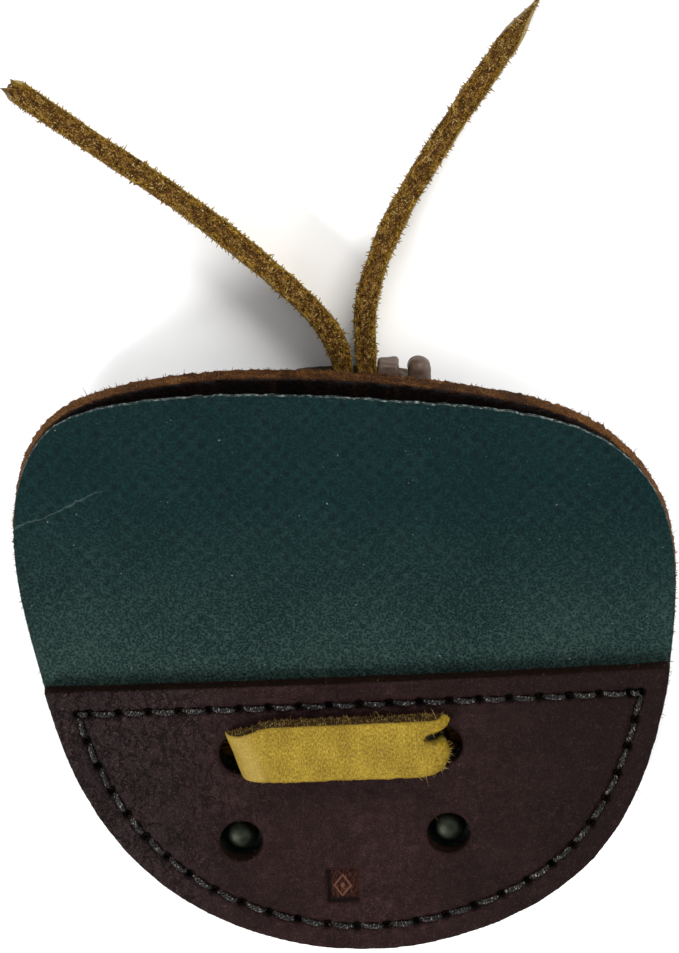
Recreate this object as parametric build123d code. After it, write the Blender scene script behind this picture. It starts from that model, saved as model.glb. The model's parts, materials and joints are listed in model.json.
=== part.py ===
from build123d import *
import math
import os

# Leather pick holder: a thick back panel, a tarpaulin pocket front, a sewn half-moon of
# leather over its lower half, two cap rivets, and one flat leather lace that runs across
# the half-moon, through the body, and is knotted behind the top rim.
# Millimetres. The body is drawn flat first: X to the right, Y from the foot to the mouth,
# Z out of the front, with Z = 0 on the rear face of the back panel. Then it is leant back
# on its knot, as it lies on a table: +Z up, the table at Z = 0.

# Body outline, as shares of half the width and of the height, from the foot anticlockwise.
body_width = 80.4
body_height = 73.8
outline_shares = [
    (0.06, 0.0), (0.48, 0.053), (0.76, 0.165), (0.922, 0.335), (1.0, 0.585),
    (0.955, 0.785), (0.783, 0.9), (0.4, 0.971), (-0.15, 1.0), (-0.64, 0.978),
    (-0.905, 0.911), (-1.0, 0.78), (-0.942, 0.515), (-0.8, 0.285), (-0.52, 0.1),
]

# Layers.
panel_thickness = 3.3
tarp_thickness = 0.8
moon_thickness = 2.5

# The half-moon and all that is set out on it are turned a little in the plane of the body.
moon_turn = 2.4
moon_middle_x = 0.6
moon_height = 35.5
hinge_offset = 0.5
hinge_gap = 0.3

# The tarpaulin above the half-moon stands off the panel like a shallow arch.
mouth_gap = 6.2
mouth_section_past_rim = 4.0
hinge_arch = 0.02
flap_side_reach = 2.0
flap_clearance = 0.1

# Sewing: a top thread and a bobbin thread, locked together inside the leather.
stitch_inset = 3.1
stitch_pitch = 3.65
corner_gap = 1.4
front_thread_radius = 0.45
back_thread_radius = 0.34
thread_leg_radius = 0.3
stitch_hole_clearance = 0.06
thread_groove_clearance = 0.11

# Lace and its punched holes.
lace_width = 7.7
lace_thickness = 2.7
lace_hole_radius = 2.55
lace_hole_spacing = 24.6
lace_row_height = 26.4
lace_leg_clearance = 0.05
strip_slant_left = 1.1
strip_slant_right = 2.2
strip_past_hole_middle = 1.275

# Rivets.
rivet_spacing = 25.4
rivet_row_height = 14.9
rivet_cap_radius = 1.9
rivet_window_clearance = 0.7
rivet_cap_height = 1.3
rivet_rim_height = 0.35
rivet_post_radius = 0.75
rivet_tube_radius = 1.1
rivet_hole_clearance = 0.05
rivet_back_radius = 2.9
rivet_back_height = 0.9
rivet_back_chamfer = 0.3

# Knot behind the rim, on the table: its lump and the two lace tabs that stand out of it.
knot_left = -6.9
knot_right = 10.5
knot_under_rim = 8.8
knot_past_rim = -0.2
knot_round = 1.8
knot_panel_clearance = 0.05
square_tab = (4.0, 6.5)
square_tab_past_rim = 0.4
round_tab = (7.6, 10.4)
round_tab_past_rim = 0.9
tab_height = 6.2
tab_length = 4.8
square_tab_round = 0.6
round_tab_round = 1.2
table_clearance = 0.22

# Free ends of the lace, side by side where they start inside the knot. Their routes are
# points on the table, from that start to the tip.
tails_middle_x = 1.3
tails_gap = 0.1
tails_start_under_rim = 3.903
left_tail_route = [
    (0.0, 0.0), (-0.15, 3.8), (-3.2, 9.0), (-11.1, 16.1), (-20.5, 23.6),
    (-30.7, 30.3), (-40.8, 37.4),
]
right_tail_route = [
    (0.0, 0.0), (-0.2, 4.8), (-0.4, 10.4), (2.5, 19.4), (7.7, 28.6),
    (14.2, 38.6), (20.9, 48.5),
]

tarp_bottom = panel_thickness
tarp_top = tarp_bottom + tarp_thickness
moon_top = tarp_top + moon_thickness
edge_lock_height = tarp_bottom
top_lock_height = (tarp_bottom + moon_top) / 2
hinge_height = moon_height + hinge_offset
lace_leg_radius = lace_hole_radius - lace_leg_clearance
knot_start = body_height - knot_under_rim
knot_end = body_height + knot_past_rim

# The body leans on the lace: on the strands that stand on edge in the knot, or on the heels
# of the legs where the lace is thicker than the space there.
knot_lean = math.asin((lace_width + table_clearance) / knot_start)
heel_lean = math.asin((lace_thickness + table_clearance) / (lace_row_height - lace_leg_radius))
lean = math.degrees(max(knot_lean, heel_lean))

# The origin is under the middle of the plan, from the foot's front edge to the longer tab.
foot_overhang = moon_top * math.sin(math.radians(lean))
origin_from_foot = (body_height + round_tab_past_rim - foot_overhang) / 2
tails_start_y = body_height - tails_start_under_rim - origin_from_foot

# Sizes of the large blocks that cut and clip.
sky = 60.0
reach = 200.0


def on_moon(u, v, z=0.0):
    """A point given along and across the half-moon, in the flat body's frame."""
    turned = Vector(u, v, 0).rotate(Axis.Z, moon_turn)
    return Vector(moon_middle_x + turned.X, turned.Y, z)


def moon_frame(u=0.0, v=0.0, z=0.0):
    return Location(on_moon(u, v, z), (0, 0, moon_turn))


def leant():
    """From the flat body's frame to the table's."""
    return Location((0, -origin_from_foot, 0)) * Location((0, 0, 0), (lean, 0, 0))


def body_outline(inset=0.0):
    points = [(a * body_width / 2, b * body_height) for a, b in outline_shares]
    face = make_face(Spline(*points, periodic=True))
    return offset(face, -inset, kind=Kind.INTERSECTION) if inset else face


def below_line(height):
    """A large plane area on the foot's side of a line across the half-moon."""
    area = Rectangle(reach, reach, align=(Align.CENTER, Align.MAX))
    return moon_frame(0, height) * area


def plate(face, bottom, thickness):
    return Pos(0, 0, bottom) * extrude(face, amount=thickness, dir=(0, 0, 1))


def pair(spacing, height):
    """The left and right places of two like features on the half-moon."""
    return [on_moon(side * spacing / 2, height) for side in (-1, 1)]


def drill(places, radius, bottom=-sky / 2, top=sky / 2):
    along = Align.CENTER, Align.CENTER, Align.MIN
    return [Pos(p.X, p.Y, bottom) * Cylinder(radius, top - bottom, align=along) for p in places]


def stitch_rows():
    """The holes of the top row, and of the row round the edge, corner to corner."""
    sewn = body_outline(stitch_inset) & below_line(moon_height - stitch_inset)
    straight = sewn.edges().filter_by(GeomType.LINE).sort_by(SortBy.LENGTH)[-1]
    round_edges = [e for e in sewn.edges() if e.length != straight.length]
    rows = []
    for path, end_gap in ((Wire([straight]), corner_gap), (Wire(round_edges), 0)):
        sewn_length = path.length - 2 * end_gap
        count = round(sewn_length / stitch_pitch)
        steps = [end_gap + i * sewn_length / count for i in range(count + 1)]
        rows.append([path.position_at(step / path.length) for step in steps])
    return rows


def stitches(holes, radius, surface, outward, leg_end):
    """One thread: a half-round stitch between each two holes, and a leg down each hole."""
    thread = Part()
    for start, end in zip(holes, holes[1:]):
        run = end - start
        turn = math.degrees(math.atan2(run.Y, run.X))
        middle = (start + end) * 0.5
        bar = Cylinder(radius, run.length, rotation=(0, 90, 0))
        half = Box(run.length, 2 * radius, radius, align=(Align.CENTER, Align.CENTER, Align.MIN))
        if outward < 0:
            half = half.mirror(Plane.XY)
        thread += Location((middle.X, middle.Y, surface), (0, 0, turn)) * (bar & half)
    low, high = sorted((surface, leg_end))
    return thread + drill(holes, thread_leg_radius, low, high)


def back_panel(holes):
    panel = plate(body_outline(), 0, panel_thickness)
    return panel - holes


def tarp_lower(holes):
    """The sewn-down tarpaulin; its top row's bobbin thread lies in a groove underneath."""
    face = body_outline() & below_line(hinge_height - hinge_gap)
    groove_width = 2 * (back_thread_radius + thread_groove_clearance)
    align = Align.CENTER, Align.CENTER, Align.MIN
    groove = Box(reach, groove_width, back_thread_radius, align=align)
    groove = moon_frame(0, moon_height - stitch_inset, tarp_bottom) * groove
    return plate(face, tarp_bottom, tarp_thickness) - groove - holes


def tarp_flap():
    """The free upper tarpaulin: flat at the hinge, arched at the mouth."""
    bottom = tarp_bottom + flap_clearance
    half = body_width / 2 + flap_side_reach
    rise = body_height + mouth_section_past_rim - hinge_height

    def band(lift):
        arcs = []
        for level in (bottom, bottom + tarp_thickness):
            ends = [(-half, level), (half, level)]
            arcs.append(ThreePointArc(ends[0], (0, level + lift), ends[1]))
        sides = [Line(arcs[0] @ t, arcs[1] @ t) for t in (0, 1)]
        return make_face([*arcs, *sides])

    plane = Plane(origin=(0, 0, 0), x_dir=(1, 0, 0), z_dir=(0, -1, 0))
    foot = plane * band(hinge_arch)
    mouth = Pos(0, rise, 0) * (plane * band(mouth_gap))
    sheet = moon_frame(0, hinge_height) * loft([foot, mouth], ruled=True)
    return sheet & plate(body_outline(), 0, sky)


def half_moon(holes):
    face = body_outline() & below_line(moon_height)
    return plate(face, tarp_top, moon_thickness) - holes


def tie_lace():
    """The lace from knot to knot: two rear runs, two legs through the body, a front strip."""
    half = lace_width / 2
    reach_u = lace_hole_spacing / 2 + strip_past_hole_middle
    corners = [
        (-reach_u - strip_slant_left, half), (-reach_u + strip_slant_left, -half),
        (reach_u - strip_slant_right, -half), (reach_u, half),
    ]
    strip = moon_frame(0, lace_row_height, moon_top) * extrude(
        make_face(Polyline(*corners, close=True)), amount=lace_thickness, dir=(0, 0, 1)
    )
    lace = strip
    middle = (knot_left + knot_right) / 2
    places = pair(lace_hole_spacing, lace_row_height)
    for side, place in zip((-1, 1), places):
        lace += drill([place], lace_leg_radius, -lace_thickness, moon_top)
        inner = Vector(middle + side * half, knot_start)
        run = inner - Vector(place.X, place.Y)
        across = Vector(-run.Y, run.X).normalized() * half
        heel = Vector(place.X, place.Y) - run.normalized() * lace_leg_radius
        band = [heel + across, heel - across, inner - across, inner + across]
        flat = make_face(Polyline(*[(p.X, p.Y) for p in band], close=True))
        lace += plate(flat, -lace_thickness, lace_thickness)
    return lace - plate(Pos(0, knot_start + reach / 2) * Rectangle(reach, reach), -sky / 2, sky / 2)


def front_rivets(places):
    """Domed caps with their solid posts, one for each side."""
    caps = []
    dome_radius = (rivet_cap_radius**2 + (rivet_cap_height - rivet_rim_height) ** 2) / (
        2 * (rivet_cap_height - rivet_rim_height)
    )
    for place in places:
        disc = drill([place], rivet_cap_radius, tarp_top, tarp_top + rivet_cap_height)[0]
        ball = Pos(place.X, place.Y, tarp_top + rivet_cap_height - dome_radius) * Sphere(dome_radius)
        post = drill([place], rivet_post_radius, 0, tarp_top)[0]
        caps.append((disc & ball) + post)
    return caps


def back_rivets(places):
    """Flat rear caps with the tubes that the posts are driven into."""
    caps = []
    for place in places:
        disc = drill([place], rivet_back_radius, -rivet_back_height, 0)[0]
        disc = chamfer(disc.edges().group_by(Axis.Z)[0], rivet_back_chamfer)
        tube = drill([place], rivet_tube_radius, 0, tarp_top)[0]
        caps.append(disc + tube - drill([place], rivet_post_radius, 0, tarp_top))
    return caps


def tail(name, side, route):
    """A free end of the lace, standing on its cut edge on the table."""
    start = Vector(tails_middle_x + side * (lace_thickness + tails_gap) / 2, tails_start_y)
    places = [start + Vector(*p) for p in route]
    radii = []
    for a, b, c in zip(places, places[1:], places[2:]):
        turn = (b - a).get_angle(c - b)
        shorter = min((b - a).length, (c - b).length)
        radii.append(0.45 * shorter / math.tan(math.radians(turn / 2)))
    print(name, "start", start, "radii", [round(r, 1) for r in radii])
    path = FilletPolyline(*places, radius=radii)
    section = Plane(origin=path @ 0, x_dir=(0, 0, 1), z_dir=path % 0) * Rectangle(
        lace_width, lace_thickness, align=(Align.MIN, Align.CENTER)
    )
    solid = sweep(section, path)
    print(name, "length", round(path.length, 2), "volume", round(solid.volume, 1),
          "section by length", round(path.length * lace_width * lace_thickness, 1))
    return solid


def lace_knot(tails):
    """The knot's lump between the table and the leant panel, with its two tabs."""
    length = knot_end - knot_start
    middle = (knot_left + knot_right) / 2
    table_y = knot_start - origin_from_foot

    def block(left, right, start, end, height, rounding):
        box = Box(right - left, end - start, height, align=(Align.MIN, Align.MIN, Align.MIN))
        box = fillet(box.edges(), rounding)
        return Pos(left, start - origin_from_foot, 0) * box

    lump = Box(knot_right - knot_left, length, sky, align=(Align.CENTER, Align.MIN, Align.MIN))
    lump = Pos(middle, table_y, 0) * fillet(lump.edges().filter_by(Axis.Z), knot_round)
    under_panel = leant() * Pos(0, 0, -knot_panel_clearance - sky / 2) * Box(reach, reach, sky)
    knot = lump & under_panel
    tab_root = knot_end - tab_length
    for tab, past_rim, rounding in (
        (square_tab, square_tab_past_rim, square_tab_round),
        (round_tab, round_tab_past_rim, round_tab_round),
    ):
        knot += block(*tab, tab_root, body_height + past_rim, tab_height, rounding)
    return knot - tails


def main():
    os.makedirs("parts", exist_ok=True)
    top_row, edge_row = stitch_rows()
    lace_places = pair(lace_hole_spacing, lace_row_height)
    rivet_places = pair(rivet_spacing, rivet_row_height)
    lace_holes = drill(lace_places, lace_hole_radius)
    rivet_holes = drill(rivet_places, rivet_tube_radius + rivet_hole_clearance)
    windows = drill(rivet_places, rivet_cap_radius + rivet_window_clearance)
    edge_holes = drill(edge_row, thread_leg_radius + stitch_hole_clearance)
    top_holes = drill(top_row, thread_leg_radius + stitch_hole_clearance)
    inner_thread = stitches(top_row, back_thread_radius, tarp_bottom + back_thread_radius, -1,
                            top_lock_height)
    tails = {
        "lace_tail_left": tail("lace_tail_left", -1, left_tail_route),
        "lace_tail_right": tail("lace_tail_right", 1, right_tail_route),
    }
    flat = {
        "back_panel": back_panel(lace_holes + rivet_holes + edge_holes),
        "tarp_lower": tarp_lower(lace_holes + rivet_holes + edge_holes + top_holes),
        "tarp_flap": tarp_flap(),
        "half_moon": half_moon(lace_holes + windows + edge_holes + top_holes),
        "edge_thread_front": stitches(edge_row, front_thread_radius, moon_top, 1, edge_lock_height),
        "edge_thread_back": stitches(edge_row, back_thread_radius, 0, -1, edge_lock_height),
        "top_thread_front": stitches(top_row, front_thread_radius, moon_top, 1, top_lock_height),
        "top_thread_back": inner_thread,
        "tie_lace": tie_lace(),
        "rivet_caps_front": Compound(children=front_rivets(rivet_places)),
        "rivet_caps_back": Compound(children=back_rivets(rivet_places)),
    }
    parts = {name: leant() * shape for name, shape in flat.items()}
    parts.update(tails)
    parts["lace_knot"] = lace_knot(list(tails.values()))
    for name, shape in parts.items():
        export_step(shape, f"parts/{name}.step")
    body = Compound([s for name, p in parts.items() if name not in tails for s in p.solids()])
    box = body.bounding_box()
    print("box without tails", box.min, box.max)
    hinge = leant() * Pos(on_moon(0, hinge_height, tarp_bottom + flap_clearance + tarp_thickness / 2))
    along = (leant() * Pos(on_moon(10, hinge_height, 0))).position - (
        leant() * Pos(on_moon(0, hinge_height, 0))
    ).position
    print("hinge at", hinge.position, "along", along.normalized())


main()
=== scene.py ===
import json
import math
import random

import bpy
import numpy as np
from mathutils import Matrix, Vector, noise


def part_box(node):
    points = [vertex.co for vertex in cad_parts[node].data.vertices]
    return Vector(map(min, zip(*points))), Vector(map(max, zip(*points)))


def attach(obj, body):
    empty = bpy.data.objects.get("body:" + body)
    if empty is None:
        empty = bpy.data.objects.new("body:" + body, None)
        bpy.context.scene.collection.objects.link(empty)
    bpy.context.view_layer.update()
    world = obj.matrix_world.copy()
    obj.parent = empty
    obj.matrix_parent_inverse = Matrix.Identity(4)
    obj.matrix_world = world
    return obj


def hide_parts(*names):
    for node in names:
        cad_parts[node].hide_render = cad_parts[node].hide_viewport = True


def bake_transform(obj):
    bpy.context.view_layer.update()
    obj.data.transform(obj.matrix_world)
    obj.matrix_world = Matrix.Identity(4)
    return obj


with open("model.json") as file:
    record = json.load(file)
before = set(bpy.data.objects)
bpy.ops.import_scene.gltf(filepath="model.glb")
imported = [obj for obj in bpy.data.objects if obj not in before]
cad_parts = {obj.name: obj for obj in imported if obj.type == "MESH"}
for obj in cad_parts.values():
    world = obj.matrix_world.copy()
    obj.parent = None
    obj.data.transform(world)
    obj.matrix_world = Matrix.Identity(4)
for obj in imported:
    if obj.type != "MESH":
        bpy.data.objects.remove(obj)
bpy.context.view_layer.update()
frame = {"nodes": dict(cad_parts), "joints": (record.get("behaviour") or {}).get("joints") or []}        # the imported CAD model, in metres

mm = 0.001

# The body is modelled flat, with its rear face at height 0 and its foot at y 0, and is
# then leant back as the CAD body is. The hinge gives the lean and the half-moon's turn.
body = {
    "panel": 3.3 * mm,
    "tarp": 0.8 * mm,
    "moon": 2.5 * mm,
    "height": 73.8 * mm,
    "moonMiddleX": 0.6 * mm,
    "moonHeight": 35.5 * mm,
    "stitchInset": 3.1 * mm,
    "bowStart": 21.5 * mm,      # the layers bow outwards from here up
    "bowAtEdge": 0.9 * mm,
    "mouthLift": 5.8 * mm,
    "halfWidth": 40.2 * mm,
}
hingeAxis = Vector(frame["joints"][0]["axis"])
lean = math.atan2(hingeAxis.z, hingeAxis.y)
moonTurn = math.acos(hingeAxis.x)
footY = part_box("back_panel")[0].y + body["panel"] * math.sin(lean)
leaning = Matrix.Translation((0, footY, 0)) @ Matrix.Rotation(lean, 4, "X")
moonTop = body["panel"] + body["tarp"] + body["moon"]

studioShare = 0.5     # colours are darkened by this, because the studio light is strong


def srgb(red, green, blue, share=studioShare):
    # the linear colour of an sRGB one that is given from 0 to 255
    linear = []
    for value in (red / 255, green / 255, blue / 255):
        linear.append(value / 12.92 if value < 0.04045 else ((value + 0.055) / 1.055) ** 2.4)
    return (*[value * share for value in linear], 1)


def onMoon(u, v, z=0.0):
    # from along and across the half-moon to the flat body
    turned = Matrix.Rotation(moonTurn, 3, "Z") @ Vector((u, v, 0))
    return Vector((body["moonMiddleX"] + turned.x, turned.y, z))


def alongMoon(points):
    # the other way round, for many points
    shifted = points[:, :2] - np.array([body["moonMiddleX"], 0])
    c, s = math.cos(moonTurn), math.sin(moonTurn)
    return shifted[:, 0] * c + shifted[:, 1] * s, shifted[:, 1] * c - shifted[:, 0] * s


def step(low, high, value):
    t = np.clip((value - low) / (high - low), 0, 1)
    return t * t * (3 - 2 * t)


def bow(points):
    # how far the pocket front stands off the panel: a shallow bow under the half-moon's
    # edge, which opens into the arch of the mouth
    u, v = alongMoon(points)
    arch = np.clip(1 - (u / body["halfWidth"]) ** 2, 0, 1)
    edge = body["moonHeight"]
    low = body["bowAtEdge"] * (np.clip(v - body["bowStart"], 0, None) / (edge - body["bowStart"])) ** 2
    rise = body["mouthLift"] - body["bowAtEdge"]
    climb = body["bowAtEdge"] + rise * (v - edge) / (body["height"] - edge)
    return arch * np.where(v < edge, low, climb)


# ---- small tools for modelling

def only(piece):
    bpy.ops.object.select_all(action="DESELECT")
    piece.select_set(True)
    bpy.context.view_layer.objects.active = piece


def applied(piece, kind, **settings):
    only(piece)
    modifier = piece.modifiers.new(kind.lower(), kind)
    for key, value in settings.items():
        setattr(modifier, key, value)
    bpy.ops.object.modifier_apply(modifier=modifier.name)


def flatCopy(node, name):
    # a merged copy of a CAD node, laid back flat
    mesh = frame["nodes"][node].data.copy()
    mesh.transform(leaning.inverted())
    mesh.materials.clear()
    piece = bpy.data.objects.new(name, mesh)
    bpy.context.collection.objects.link(piece)
    only(piece)
    bpy.ops.object.mode_set(mode="EDIT")
    bpy.ops.mesh.select_all(action="SELECT")
    bpy.ops.mesh.remove_doubles(threshold=0.002 * mm)
    bpy.ops.mesh.normals_make_consistent(inside=False)
    bpy.ops.object.mode_set(mode="OBJECT")
    return piece


def points(piece):
    co = np.empty(len(piece.data.vertices) * 3)
    piece.data.vertices.foreach_get("co", co)
    return co.reshape(-1, 3)


def normals(piece):
    co = np.empty(len(piece.data.vertices) * 3)
    piece.data.vertices.foreach_get("normal", co)
    return co.reshape(-1, 3)


def setPoints(piece, co):
    piece.data.vertices.foreach_set("co", co.ravel())
    piece.data.update()


def paintValue(piece, name, values):
    # a number for each vertex, which a material reads by name
    layer = piece.data.attributes.new(name, "FLOAT", "POINT")
    layer.data.foreach_set("value", np.asarray(values, np.float32))


def rough(co, size, seed=0.0):
    # soft noise between about -1 and 1, with lumps of the given size
    shift = Vector((seed, seed * 0.7, seed * 1.3))
    return np.array([noise.noise(Vector(p) / size + shift) for p in co]) * 1.6


def leatherSkin(piece, voxel, rounds):
    # an even skin with softened edges
    applied(piece, "REMESH", mode="VOXEL", voxel_size=voxel)
    applied(piece, "SMOOTH", factor=0.5, iterations=rounds)
    only(piece)
    bpy.ops.object.shade_smooth()


def finished(piece, paint, slot, *nodes, inFlat=True):
    if inFlat:
        piece.data.transform(leaning)
    piece.data.materials.clear()
    piece.data.materials.append(paint)
    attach(piece, "pouch")
    if nodes:
        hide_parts(*nodes)


def curvePiece(name, lines, thickness, sides=1):
    # many open lines with a round section, made into one mesh; each point is (place, radius share)
    curve = bpy.data.curves.new(name, "CURVE")
    curve.dimensions = "3D"
    curve.bevel_depth = thickness
    curve.bevel_resolution = sides
    curve.use_fill_caps = True
    for line in lines:
        spline = curve.splines.new("POLY")
        spline.points.add(len(line) - 1)
        for point, (place, share) in zip(spline.points, line):
            point.co = (*place, 1)
            point.radius = share
    piece = bpy.data.objects.new(name, curve)
    bpy.context.collection.objects.link(piece)
    only(piece)
    bpy.ops.object.convert(target="MESH")
    bpy.ops.object.shade_smooth()
    return bpy.context.view_layer.objects.active


def sideways(co, facing):
    # the outer rim of a flat piece, as places and the way they face
    keep = np.hypot(facing[:, 0], facing[:, 1]) > 0.6
    return co[keep], facing[keep]


def joined(main, *others):
    # the others become part of the first piece
    only(main)
    for other in others:
        other.select_set(True)
    bpy.ops.object.join()


hair = {
    "shortest": 0.35,           # shares of the length that is asked for
    "longest": 1.1,
    "stray": 2.6,
    "bend": 0.5,
    "rooted": 0.05 * mm,
    "taper": 0.75,
    "spans": 3,
}


def anyWay(chooser, size):
    return Vector([chooser.uniform(-1, 1) for _ in range(3)]) * size


def hairs(name, roots, facing, count, length, thickness, seed, slantSize, strayShare):
    # fine loose fibres that grow from some of the given places
    chooser = random.Random(seed)
    lines = []
    for i in chooser.sample(range(len(roots)), min(count, len(roots))):
        stray = hair["stray"] if chooser.random() < strayShare else 1
        reach = length * chooser.uniform(hair["shortest"], hair["longest"]) * stray
        out = Vector(facing[i])
        slant = anyWay(chooser, slantSize)
        bend = anyWay(chooser, hair["bend"])
        root = Vector(roots[i]) - out * hair["rooted"]
        line = []
        for k in range(hair["spans"] + 1):
            t = k / hair["spans"]
            place = root + (out + slant + bend * t) * reach * t
            line.append((place, 1 - hair["taper"] * t))
        lines.append(line)
    return curvePiece(name, lines, thickness, 0)


def splineLine(route, name):
    # the smooth line of a NURBS spline with these control points, read from Blender
    curve = bpy.data.curves.new(name, "CURVE")
    curve.dimensions = "3D"
    curve.resolution_u = 16
    spline = curve.splines.new("NURBS")
    spline.points.add(len(route) - 1)
    for point, place in zip(spline.points, route):
        point.co = (*place, 1)
    spline.order_u = 3
    spline.use_endpoint_u = True
    holder = bpy.data.objects.new(name, curve)
    mesh = bpy.data.meshes.new_from_object(holder)
    line = np.array([v.co[:] for v in mesh.vertices])
    bpy.data.objects.remove(holder)
    bpy.data.meshes.remove(mesh)
    return line


def evenly(line, spacing):
    # the same line with points at an even spacing
    steps = np.linalg.norm(np.diff(line, axis=0), axis=1)
    along = np.concatenate([[0], np.cumsum(steps)])
    keep = np.linspace(0, along[-1], max(3, round(along[-1] / spacing)))
    return np.stack([np.interp(keep, along, line[:, k]) for k in range(3)], axis=1), keep


def unit(rows):
    return rows / np.linalg.norm(rows, axis=1, keepdims=True)


def sectionRing(faceSteps, edgeSteps=9, cornerSteps=3):
    # a rounded oblong: where each point sits on its side, and the way it faces
    seats, facing = [], []
    corners = [((1, 1), (0, 1), (1, 0)), ((1, -1), (1, 0), (0, -1)), ((-1, -1), (0, -1), (-1, 0)),
               ((-1, 1), (-1, 0), (0, 1))]
    previous = (-1, 1)
    for seat, before, after in corners:
        steps = faceSteps if before[0] == 0 else edgeSteps
        for i in range(1, steps):
            t = i / steps
            seats.append([previous[k] + (seat[k] - previous[k]) * t for k in (0, 1)])
            facing.append(before)
        for i in range(cornerSteps + 1):
            turn = i / cornerSteps * math.pi / 2
            seats.append(seat)
            facing.append([before[k] * math.cos(turn) + after[k] * math.sin(turn) for k in (0, 1)])
        previous = seat
    return np.array(seats, float), np.array(facing, float)


bandRelief = {
    "fine": 0.32 * mm,          # lumps on the raw edges
    "coarse": 0.9 * mm,
    "coarseShare": 0.6,
    "drawnOut": 0.35,           # the lumps are longer along the band
    "onFaces": 0.12,            # how much of the relief the smooth faces take
    "tear": 0.8 * mm,
    "tornRings": ((-1, 1), (-2, 0.6), (-3, 0.3)),
}


def ringLength(ring):
    # the way round a ring of points, from its first point to each next one and back
    closed = np.vstack([ring, ring[:1]])
    return np.concatenate([[0], np.cumsum(np.linalg.norm(np.diff(closed, axis=0), axis=1))])


def band(name, line, across, width, depth, seed, corner=0.45 * mm, curl=0, fibre=0.13 * mm, ragged=0,
         faceSteps=16):
    # a flat leather band along a line; width and depth are one number or one for each point
    count = len(line)
    width, depth, curl = (np.broadcast_to(np.asarray(x, float), (count,)) for x in (width, depth, curl))
    tangent = unit(np.gradient(line, axis=0))
    across = unit(across - (across * tangent).sum(1, keepdims=True) * tangent)
    through = np.cross(tangent, across)
    seats, facing = sectionRing(faceSteps)
    ring = len(seats)
    corner = np.minimum(corner, np.minimum(width, depth) * 0.45)
    a = seats[:, 0] * (width / 2 - corner)[:, None] + facing[:, 0] * corner[:, None]
    b = seats[:, 1] * (depth / 2 - corner)[:, None] + facing[:, 1] * corner[:, None]
    share = a / (width / 2)[:, None]
    b = b + curl[:, None] * share**2
    co = line[:, None] + a[..., None] * across[:, None] + b[..., None] * through[:, None]
    outward = facing[:, :1][None] * across[:, None] + facing[:, 1:][None] * through[:, None]
    along = np.concatenate([[0], np.cumsum(np.linalg.norm(np.diff(line, axis=0), axis=1))])
    girth = ringLength(co[0])
    cut = np.abs(facing[:, 0]) ** 2
    probe = np.stack([
        np.repeat(along, ring) * bandRelief["drawnOut"],
        np.tile(girth[:ring], count),
        np.full(count * ring, seed),
    ], axis=1)
    bumps = rough(probe, bandRelief["fine"], seed)
    bumps = bumps + bandRelief["coarseShare"] * rough(probe, bandRelief["coarse"], seed + 5)
    bumps = bumps.reshape(count, ring) * (bandRelief["onFaces"] + cut) * fibre
    co = co + bumps[..., None] * outward
    torn = rough(co[-1], bandRelief["tear"], seed + 9)
    for i, share in bandRelief["tornRings"]:
        co[i] += np.outer(torn * share * ragged, tangent[-1])
    verts = co.reshape(-1, 3)
    caps = [line[0], line[-1] - tangent[-1] * ragged * 0.5]
    verts = np.vstack([verts, caps])
    faces = []
    loops = []
    for i in range(count - 1):
        for k in range(ring):
            n = (k + 1) % ring
            faces.append((i * ring + k, (i + 1) * ring + k, (i + 1) * ring + n, i * ring + n))
            loops += [(along[i], girth[k]), (along[i + 1], girth[k])]
            loops += [(along[i + 1], girth[k + 1]), (along[i], girth[k + 1])]
    for end, base in ((0, 0), (1, (count - 1) * ring)):
        for k in range(ring):
            n = (k + 1) % ring
            pair = (base + k, base + n) if end == 0 else (base + n, base + k)
            faces.append((*pair, count * ring + end))
            loops += [(along[-end], girth[k])] * 3
    mesh = bpy.data.meshes.new(name)
    mesh.from_pydata([tuple(v) for v in verts], [], faces)
    layer = mesh.uv_layers.new(name="lie")
    layer.data.foreach_set("uv", np.array(loops, np.float32).ravel())
    piece = bpy.data.objects.new(name, mesh)
    bpy.context.collection.objects.link(piece)
    core = np.clip(1 - np.abs(seats[:, 1] * (1 - np.abs(facing[:, 1])) + facing[:, 1]), 0, 1)
    grain = np.clip(facing[:, 1] * 2, 0, 1)
    none = np.zeros(ring)
    for key, values, end in (
        ("cut", cut, 1), ("core", core, 0.5), ("grain", grain, 0),
        ("grime", none, 0), ("worn", none, 0), ("torn", none, 0),
    ):
        paintValue(piece, key, np.concatenate([np.tile(values, count), [end, end]]))
    only(piece)
    bpy.ops.object.shade_smooth()
    bpy.ops.object.mode_set(mode="EDIT")
    bpy.ops.mesh.select_all(action="SELECT")
    bpy.ops.mesh.normals_make_consistent(inside=False)
    bpy.ops.object.mode_set(mode="OBJECT")
    return piece


# ---- materials

class Link:
    # a socket that plain expressions can add, multiply and subtract
    def __init__(self, paint, socket):
        self.paint, self.socket = paint, socket

    def __add__(self, other):
        return self.paint.maths("ADD", self, other)

    def __sub__(self, other):
        return self.paint.maths("SUBTRACT", self, other)

    def __rsub__(self, other):
        return self.paint.maths("SUBTRACT", other, self)

    def __mul__(self, other):
        return self.paint.maths("MULTIPLY", self, other)

    __radd__ = __add__
    __rmul__ = __mul__


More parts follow.
